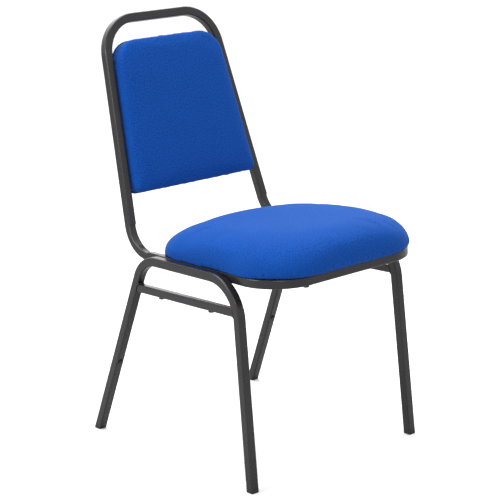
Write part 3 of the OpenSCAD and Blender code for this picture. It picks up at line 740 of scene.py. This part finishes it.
def makeRearPanel():
    back, front = rearPanel["back"], rearPanel["front"]
    rings = []
    for inset, height in ((0.0020, front), (0.0006, front - 0.0004), (0.0002, front - 0.0016),
                          (0.0008, back + 0.0016), (0.0018, back + 0.0006), (0.006, back),
                          (0.013, back - rearPanel["crown"] * 0.6)):
        ring = padOutline(rearPanel, backHalf, (-inset, -inset, -inset))
        rings.append([backPoint(x, w, height) for x, w in ring])
    inner = rings[-1]
    middle = sum(inner, Vector()) / len(inner)
    for share in (0.75, 0.5, 0.25, 0.06):
        lift = backFront * rearPanel["crown"] * 0.4 * (1 - share)
        rings.append([middle + (p - middle) * share - lift for p in inner])
    panel = loftRings("rearPanelCover", rings, blueCloth)
    subdivide(panel)
    addClothMap(panel, backOrigin, backAxes, -1.0)
    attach(panel, "root")
    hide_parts("back_rear_panel")
    print("rear panel made")


makeRearPanel()


# Repeated small things, made with geometry nodes along a line
def newGeometryTree(name, inputs):
    tree = bpy.data.node_groups.new(name, "GeometryNodeTree")
    tree.interface.new_socket(name="Geometry", in_out="INPUT", socket_type="NodeSocketGeometry")
    for label, kind, value in inputs:
        socket = tree.interface.new_socket(name=label, in_out="INPUT", socket_type=kind)
        socket.default_value = value
    tree.interface.new_socket(name="Geometry", in_out="OUTPUT", socket_type="NodeSocketGeometry")
    return tree, addNode(tree, "NodeGroupInput", (-5, 0)), addNode(tree, "NodeGroupOutput", (6, 0))


def finishTree(tree, instances, material, sink):
    real = addNode(tree, "GeometryNodeRealizeInstances", (3, 0))
    paint = addNode(tree, "GeometryNodeSetMaterial", (5, 0))
    paint.inputs["Material"].default_value = material
    smooth = addNode(tree, "GeometryNodeSetShadeSmooth", (4, 0))
    tree.links.new(instances, real.inputs["Geometry"])
    tree.links.new(real.outputs["Geometry"], smooth.inputs["Geometry"])
    tree.links.new(smooth.outputs["Geometry"], paint.inputs["Geometry"])
    tree.links.new(paint.outputs["Geometry"], sink.inputs["Geometry"])


def alongLine(tree, source, spacing):
    curve = addNode(tree, "GeometryNodeMeshToCurve", (-4, 0))
    resample = addNode(tree, "GeometryNodeResampleCurve", (-3, 0), mode="LENGTH")
    tree.links.new(source.outputs["Geometry"], curve.inputs["Mesh"])
    tree.links.new(curve.outputs["Curve"], resample.inputs["Curve"])
    tree.links.new(spacing, resample.inputs["Length"])
    tangent = addNode(tree, "GeometryNodeInputTangent", (-3, -2))
    align = addNode(tree, "FunctionNodeAlignRotationToVector", (-2, -2), axis="X")
    tree.links.new(tangent.outputs["Tangent"], align.inputs["Vector"])
    return resample.outputs["Curve"], align.outputs["Rotation"]


def beadTree(material):
    tree, source, sink = newGeometryTree("weldBead", [
        ("Spacing", "NodeSocketFloat", 0.0015),
        ("Radius", "NodeSocketFloat", 0.0016),
        ("Unevenness", "NodeSocketFloat", 0.18),
        ("Seed", "NodeSocketInt", 4),
    ])
    points, rotation = alongLine(tree, source, source.outputs["Spacing"])
    lump = addNode(tree, "GeometryNodeMeshUVSphere", (-2, 2))
    fill(lump, {"Segments": 8, "Rings": 6})
    tree.links.new(source.outputs["Radius"], lump.inputs["Radius"])
    low = mathNode(tree, "SUBTRACT", 1.0, source.outputs["Unevenness"], (-2, -4))
    high = mathNode(tree, "ADD", 1.0, source.outputs["Unevenness"], (-2, -5))
    vary = addNode(tree, "FunctionNodeRandomValue", (-1, -4), data_type="FLOAT")
    tree.links.new(low, vary.inputs[2])
    tree.links.new(high, vary.inputs[3])
    tree.links.new(source.outputs["Seed"], vary.inputs["Seed"])
    place = addNode(tree, "GeometryNodeInstanceOnPoints", (1, 0))
    tree.links.new(points, place.inputs["Points"])
    tree.links.new(lump.outputs["Mesh"], place.inputs["Instance"])
    tree.links.new(rotation, place.inputs["Rotation"])
    tree.links.new(vary.outputs[1], place.inputs["Scale"])
    finishTree(tree, place.outputs["Instances"], material, sink)
    return tree


def stapleTree(material):
    tree, source, sink = newGeometryTree("stapleRow", [
        ("Spacing", "NodeSocketFloat", 0.024),
        ("Length", "NodeSocketFloat", 0.010),
        ("Wire", "NodeSocketFloat", 0.0009),
        ("Skew", "NodeSocketFloat", 0.16),
        ("Seed", "NodeSocketInt", 11),
    ])
    points, rotation = alongLine(tree, source, source.outputs["Spacing"])
    halfLength = mathNode(tree, "MULTIPLY", source.outputs["Length"], 0.5, (-4, 3))
    start = addNode(tree, "ShaderNodeCombineXYZ", (-3, 4))
    end = addNode(tree, "ShaderNodeCombineXYZ", (-3, 3))
    tree.links.new(mathNode(tree, "MULTIPLY", halfLength, -1.0, (-4, 4)), start.inputs["X"])
    tree.links.new(halfLength, end.inputs["X"])
    crown = addNode(tree, "GeometryNodeCurvePrimitiveLine", (-2, 4))
    tree.links.new(start.outputs[0], crown.inputs["Start"])
    tree.links.new(end.outputs[0], crown.inputs["End"])
    wire = addNode(tree, "GeometryNodeCurvePrimitiveCircle", (-2, 3))
    wire.inputs["Resolution"].default_value = 8
    tree.links.new(mathNode(tree, "MULTIPLY", source.outputs["Wire"], 0.5, (-3, 2)), wire.inputs["Radius"])
    staple = addNode(tree, "GeometryNodeCurveToMesh", (-1, 4))
    staple.inputs["Fill Caps"].default_value = True
    tree.links.new(crown.outputs["Curve"], staple.inputs["Curve"])
    tree.links.new(wire.outputs["Curve"], staple.inputs["Profile Curve"])
    skewLow = addNode(tree, "ShaderNodeCombineXYZ", (-3, -5))
    skewHigh = addNode(tree, "ShaderNodeCombineXYZ", (-3, -6))
    tree.links.new(mathNode(tree, "MULTIPLY", source.outputs["Skew"], -1.0, (-4, -5)), skewLow.inputs["Z"])
    tree.links.new(source.outputs["Skew"], skewHigh.inputs["Z"])
    skew = addNode(tree, "FunctionNodeRandomValue", (-2, -5), data_type="FLOAT_VECTOR")
    tree.links.new(skewLow.outputs[0], skew.inputs[0])
    tree.links.new(skewHigh.outputs[0], skew.inputs[1])
    tree.links.new(source.outputs["Seed"], skew.inputs["Seed"])
    turned = addNode(tree, "FunctionNodeRotateRotation", (-1, -3), rotation_space="LOCAL")
    toRotation = addNode(tree, "FunctionNodeEulerToRotation", (-1, -5))
    tree.links.new(skew.outputs[0], toRotation.inputs[0])
    tree.links.new(rotation, turned.inputs["Rotation"])
    tree.links.new(toRotation.outputs[0], turned.inputs["Rotate By"])
    place = addNode(tree, "GeometryNodeInstanceOnPoints", (1, 0))
    tree.links.new(points, place.inputs["Points"])
    tree.links.new(staple.outputs["Mesh"], place.inputs["Instance"])
    tree.links.new(turned.outputs["Rotation"], place.inputs["Rotation"])
    finishTree(tree, place.outputs["Instances"], material, sink)
    return tree


def lineObject(name, lines):
    # lines are (points, closed)
    vertices, edges = [], []
    for points, closed in lines:
        first = len(vertices)
        vertices += [tuple(p) for p in points]
        edges += [(first + k, first + k + 1) for k in range(len(points) - 1)]
        if closed:
            edges.append((len(vertices) - 1, first))
    mesh = bpy.data.meshes.new(name)
    mesh.from_pydata(vertices, edges, [])
    piece = bpy.data.objects.new(name, mesh)
    scene.collection.objects.link(piece)
    return piece


def growAlong(name, lines, tree, values):
    piece = lineObject(name, lines)
    modifier = piece.modifiers.new("grown", "NODES")
    modifier.node_group = tree
    for item in tree.interface.items_tree:
        if item.in_out == "INPUT" and item.name in values:
            modifier[item.identifier] = values[item.name]
    bakeModifiers(piece)
    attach(piece, "root")
    return piece


def surfaceOf(nodeName):
    mesh = nodes[nodeName].data
    return BVHTree.FromPolygons([v.co.copy() for v in mesh.vertices],
                                [tuple(p.vertices) for p in mesh.polygons])


def roundedSquare(side, radius, steps=5):
    points = []
    inner = side / 2 - radius
    for quarter, (sx, sy) in enumerate(((1, 1), (-1, 1), (-1, -1), (1, -1))):
        for step in range(steps + 1):
            angle = (quarter + step / steps) * math.pi / 2
            points.append((sx * inner + radius * math.cos(angle), sy * inner + radius * math.sin(angle)))
    return points


def footPoints():
    sizes = frameSizes
    frontV = sizes["legSetBack"]
    rearV = frontV + sizes["legTopLength"]
    frontTop = rawSeatPoint(railHalf(frontV) + 2 * half + sizes["legGapFront"], frontV)
    rearTop = rawSeatPoint(railHalf(rearV) + 2 * half + sizes["legGapRear"], rearV)
    frontFoot = Vector((frontTop.x + sizes["frontFootSplay"], frontTop.y - sizes["frontFootReach"], 0))
    rearFoot = Vector((rearTop.x + sizes["rearFootSplay"], rearTop.y + sizes["rearFootReach"], 0))
    return [p + shift for p in (frontFoot, frontTop, rearTop, rearFoot)]


def atHeight(a, b, height):
    return a + (b - a) * (height - a.z) / (b.z - a.z)


def mirrored(points):
    return [Vector((-p.x, p.y, p.z)) for p in points]


def jointLoop(surface, start, direction, across, side, back):
    # where a square rail, seen along direction, meets a surface; the loop stands back by a little
    up = direction.cross(across)
    loop = []
    for a, b in roundedSquare(side, frameSizes["tubeEdge"]):
        origin = start + across * a + up * b
        hit = surface.ray_cast(origin, direction)[0]
        if hit is not None:
            loop.append(hit - direction * back)
    return loop


weldLook = {"spacing": 0.0016, "radius": 0.0015, "standBack": 0.0002, "outside": 0.0006, "unevenness": 0.2,
            "beadLength": 0.036, "beadPlaces": (0.36, 0.72), "beadDepth": 0.0155}


def crossRailLines(rail, v, side):
    # round the sides and the underside of a cross rail, left open on top
    start = seatPoint(0, v, -frameSizes["railTube"] / 2)
    reach = side / 2
    corners = [(-reach, reach * 0.62), (-reach, -reach * 0.7), (-reach * 0.7, -reach),
               (reach * 0.7, -reach), (reach, -reach * 0.7), (reach, reach * 0.62)]
    loop = []
    for across, lift in corners:
        hit = rail.ray_cast(start + seatAxes[1] * across + seatAxes[2] * lift, Vector((1, 0, 0)))[0]
        if hit is not None:
            loop.append(hit - Vector((weldLook["standBack"], 0, 0)))
    return [(loop, False), (mirrored(loop), False)]


def makeWelds():
    frontFoot, frontTop, rearTop, rearFoot = footPoints()
    leg = surfaceOf("right_leg_frame")
    rail = surfaceOf("seat_frame_tube")
    a = atHeight(frontFoot, frontTop, frameSizes["stretcherFront"])
    b = atHeight(rearFoot, rearTop, frameSizes["stretcherRear"])
    along = (b - a).normalized()
    legPlane = (frontTop - frontFoot).cross(rearTop - frontTop).normalized()
    across = (legPlane - along * legPlane.dot(along)).normalized()
    side = frameSizes["railTube"] + 2 * weldLook["outside"]
    lines = []
    for way in (along, -along):
        loop = jointLoop(leg, (a + b) / 2, way, across, side, weldLook["standBack"])
        lines += [(loop, True), (mirrored(loop), True)]
    for v in (frameSizes["frontRail"], frameSizes["rearRail"]):
        lines += crossRailLines(rail, v, side)
    for share in weldLook["beadPlaces"]:
        v = frameSizes["legSetBack"] + frameSizes["legTopLength"] * share
        inner = railHalf(v) + half
        outer = frontTop.x + (rearTop.x - frontTop.x) * share - half
        ends = [seatPoint((inner + outer) / 2, v + sign * weldLook["beadLength"] / 2, -weldLook["beadDepth"])
                for sign in (-1, 1)]
        lines += [(ends, False), (mirrored(ends), False)]
    welds = growAlong("weldRows", lines, beadTree(weldCoat), {
        "Spacing": weldLook["spacing"], "Radius": weldLook["radius"], "Unevenness": weldLook["unevenness"]})
    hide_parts("weld_beads")
    print("welds made,", len(welds.data.polygons), "faces")


makeWelds()

# Under the seat: the cloth turned in under the board, and its staples.
hemLook = {"width": 0.026, "thickness": 0.0009, "wander": 0.0014, "inFromRail": 0.0004, "rearIn": 0.0075,
           "stapleIn": 0.012, "stapleSpacing": 0.023, "squeeze": 0.010, "count": 260,
           "middle": 0.18, "rearEnd": 0.60, "cornerRadius": 0.071, "leastRadius": 0.01}


def hemOutline(inset):
    # inside the rails and inside the cushion's own edge, whichever is nearer the middle
    middle, rearEnd, least = hemLook["middle"], hemLook["rearEnd"], hemLook["leastRadius"]
    low = half + hemLook["inFromRail"] + inset
    back = hemLook["rearIn"] + inset
    inRails = outline(low, rearEnd, railHalf(low) - low, railHalf(rearEnd) - low,
                      max(hemLook["cornerRadius"] - inset, least), least, 400)
    inCushion = padOutline(dict(seatPad, count=400), seatHalf, (-back, -back, -back))
    bearings = np.linspace(-math.pi, math.pi, hemLook["count"], endpoint=False)
    reach = []
    for ring in (inRails, inCushion):
        away = ring - np.array([0.0, middle])
        angles = np.arctan2(away[:, 1], away[:, 0])
        order = np.argsort(angles)
        lengths = np.linalg.norm(away, axis=1)
        reach.append(np.interp(bearings, angles[order], lengths[order], period=2 * math.pi))
    return [(r * math.cos(t), middle + r * math.sin(t)) for r, t in zip(np.minimum(*reach), bearings)]


def hemDepth(v):
    # pressed thin where a cross rail bears on it
    press = max(math.exp(-((v - place) / hemLook["squeeze"]) ** 4) for place in
                (frameSizes["frontRail"], frameSizes["rearRail"]))
    return hemLook["thickness"] * (1 - press) + 0.00005


def makeHem():
    middle = hemLook["middle"]
    outer, inner = hemOutline(0), hemOutline(hemLook["width"])
    rings = []
    for ring, share, top in ((outer, 0, 0), (outer, 0, 1), (inner, 1, 1), (inner, 1, 0)):
        points = []
        for k, (x, v) in enumerate(ring):
            angle = 2 * math.pi * k / len(ring)
            wave = noise.noise(Vector((math.cos(angle) * 5, math.sin(angle) * 5, 1.7)))
            bump = 0.25 * noise.noise(Vector((x * 60, v * 60, 0.3)))
            depth = hemDepth(v) * (1 + bump)
            pull = 1 + wave * hemLook["wander"] * share / max(math.hypot(x, v - middle), 0.05)
            points.append(seatPoint(x * pull, middle + (v - middle) * pull, 0.00004 if top else -depth))
        rings.append(points)
    count = len(outer)
    vertices = [p for ring in rings for p in ring]
    faces = []
    for level in range(4):
        for k in range(count):
            a, b = level * count + k, level * count + (k + 1) % count
            c, d = (level + 1) % 4 * count + (k + 1) % count, (level + 1) % 4 * count + k
            faces.append((a, b, c, d))
    hem = newPiece("seatHem", vertices, faces, blueCloth)
    faceOutwards(hem)
    addClothMap(hem, seatOrigin, seatAxes, -1.0)
    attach(hem, "root")
    line = [seatPoint(x, v, -hemDepth(v) - 0.0003) for x, v in hemOutline(hemLook["stapleIn"])]
    staples = growAlong("seatStaples", [(line, True)], stapleTree(zincPlate),
                        {"Spacing": hemLook["stapleSpacing"]})
    print("hem and staples made")


makeHem()

# Screw heads under the cross rails
screwLook = {"headRadius": 0.006, "headHeight": 0.0034, "socketRadius": 0.0024, "socketDepth": 0.0019,
             "shankRadius": 0.0029, "shankLength": 0.025, "count": 36, "creaseAngle": 35}


def makeSeatScrews():
    look = screwLook
    count = look["count"]
    vertices, faces = [], []

    def hexRadius(angle):
        return look["socketRadius"] * math.cos(math.pi / 6) / math.cos((angle % (math.pi / 3)) - math.pi / 6)

    shank, shankEnd = look["shankRadius"], look["shankLength"]
    head, tall = look["headRadius"], look["headHeight"]
    # rings run from the shank's end, over the head, into the socket
    rows = [(shank * 0.6, shankEnd), (shank, shankEnd - 0.001), (shank, 0.0),
            (head * 0.97, 0.0), (head, -0.0004), (head, -tall * 0.45), (head * 0.88, -tall * 0.82),
            (head * 0.66, -tall), (None, -tall), (None, -tall + look["socketDepth"])]
    for v in (frameSizes["frontRail"], frameSizes["rearRail"]):
        for sign in (-1, 1):
            first = len(vertices)
            for radius, lift in rows:
                for k in range(count):
                    angle = 2 * math.pi * k / count
                    r = hexRadius(angle) if radius is None else radius
                    vertices.append(seatPoint(sign * frameSizes["seatScrewGap"] / 2 + r * math.cos(angle),
                                              v + r * math.sin(angle), -frameSizes["railTube"] - 0.0001 + lift))
            for level in range(len(rows) - 1):
                for k in range(count):
                    a, b = first + level * count + k, first + level * count + (k + 1) % count
                    faces.append((a, a + count, b + count, b))
            faces.append(tuple(range(first, first + count)))
            faces.append(tuple(range(first + (len(rows) - 1) * count, first + len(rows) * count))[::-1])
    screws = newPiece("seatScrewHeads", vertices, faces, zincPlate)
    faceOutwards(screws)
    smoothShade(screws)
    screws.data.set_sharp_from_angle(angle=math.radians(look["creaseAngle"]))
    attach(screws, "root")
    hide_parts("seat_screws")
    print("seat screws made")


makeSeatScrews()

# Foot inserts: the moulded edges are eased.
footLook = {"width": 0.0013, "segments": 3, "angle": 30, "creaseAngle": 40, "weldDistance": 0.000005}


def easeEdges(nodeName, name):
    mesh = nodes[nodeName].data.copy()
    mesh.name = name
    piece = bpy.data.objects.new(name, mesh)
    scene.collection.objects.link(piece)
    work = bmesh.new()
    work.from_mesh(mesh)
    bmesh.ops.remove_doubles(work, verts=work.verts[:], dist=footLook["weldDistance"])
    bmesh.ops.dissolve_limit(work, angle_limit=math.radians(2), verts=work.verts[:], edges=work.edges[:])
    work.to_mesh(mesh)
    work.free()
    bevel = piece.modifiers.new("eased", "BEVEL")
    bevel.width = footLook["width"]
    bevel.segments = footLook["segments"]
    bevel.limit_method = "ANGLE"
    bevel.angle_limit = math.radians(footLook["angle"])
    bevel.harden_normals = False
    bakeModifiers(piece)
    dress(piece, blackPlastic)
    smoothShade(piece)
    piece.data.set_sharp_from_angle(angle=math.radians(footLook["creaseAngle"]))
    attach(piece, "root")
    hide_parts(nodeName)


for end in ("front", "rear"):
    for side in ("left", "right"):
        easeEdges(f"{end}_{side}_foot", f"{end}{side.capitalize()}Foot")
print("feet eased")

# Floor, light and camera
stageLook = {"floorSeen": (0.93, 0.93, 0.93, 1), "floorBounce": (0.5, 0.5, 0.505, 1),
             "front": (0.92, 0.91, 0.93, 1), "behind": (2.1, 2.1, 2.1, 1), "behindWay": (0.65, 0.72, 0.25),
             "floorReach": 30}


def makeStage():
    reach = stageLook["floorReach"]
    corners = [(-reach, -reach, 0), (reach, -reach, 0), (reach, reach, 0), (-reach, reach, 0)]
    floor = newPiece("paleFloor", corners, [(0, 1, 2, 3)], None)
    material, tree, shader = startMaterial("paleFloor")
    fill(shader, {"Roughness": 0.9, "Specular IOR Level": 0.1})
    seen = addNode(tree, "ShaderNodeLightPath", (1, 1))
    tree.links.new(mixColour(tree, seen.outputs["Is Camera Ray"], stageLook["floorBounce"],
                             stageLook["floorSeen"], (3, 1)), shader.inputs["Base Color"])
    dress(floor, material)
    # a white backdrop behind and above, a dimmer room in front
    world = bpy.data.worlds.new("softStudio")
    world.use_nodes = True
    tree = world.node_tree
    way = addNode(tree, "ShaderNodeTexCoord", (-6, 0))
    facing = addNode(tree, "ShaderNodeVectorMath", (-5, 0), operation="DOT_PRODUCT")
    facing.inputs[1].default_value = stageLook["behindWay"]
    tree.links.new(way.outputs["Generated"], facing.inputs[0])
    amount = ramp(tree, facing.outputs["Value"], 0.40, 0.90, 0, 1, (-4, 0))
    tree.links.new(mixColour(tree, amount, stageLook["front"], stageLook["behind"], (-2, 0)),
                   tree.nodes["Background"].inputs["Color"])
    scene.world = world


studioLights = [
    {"name": "keyLight", "place": (-2.6, -3.0, 2.9), "size": 1.3, "power": 46.0},
    {"name": "topLight", "place": (0.1, 0.6, 3.0), "size": 1.8, "power": 62.0},
    {"name": "sideLight", "place": (-3.0, 0.9, 1.9), "size": 1.2, "power": 44.0},
]


def aim(item, target):
    item.rotation_euler = (Vector(target) - item.location).to_track_quat("-Z", "Y").to_euler()


def makeLights():
    for look in studioLights:
        data = bpy.data.lights.new(look["name"], "AREA")
        data.shape = "SQUARE"
        data.size = look["size"]
        data.energy = look["power"]
        lamp = bpy.data.objects.new(look["name"], data)
        lamp.location = look["place"]
        scene.collection.objects.link(lamp)
        aim(lamp, (0, 0, 0.4))


cameraPlace = {"position": (-2.18156, -2.15200 - centreY, 1.26279), "yaw": -41.8, "pitch": -14.97,
               "roll": -1.11, "lens": 121.82}


def makeCamera():
    yaw, pitch, roll = (math.radians(cameraPlace[k]) for k in ("yaw", "pitch", "roll"))
    ahead = Vector((math.cos(pitch) * math.sin(-yaw), math.cos(pitch) * math.cos(yaw), math.sin(pitch)))
    right = ahead.cross(Vector((0, 0, 1))).normalized()
    up = right.cross(ahead)
    turnedRight = right * math.cos(roll) + up * math.sin(roll)
    turnedUp = up * math.cos(roll) - right * math.sin(roll)
    data = bpy.data.cameras.new("studioCamera")
    data.lens = cameraPlace["lens"]
    data.sensor_width = 36.0
    data.clip_end = 60.0
    camera = bpy.data.objects.new("studioCamera", data)
    camera.matrix_world = Matrix.Translation(cameraPlace["position"]) @ Matrix(
        (turnedRight, turnedUp, -ahead)).transposed().to_4x4()
    scene.collection.objects.link(camera)
    scene.camera = camera


makeStage()
makeLights()
makeCamera()
scene.view_settings.view_transform = "Standard"
print("stage, lights and camera made")
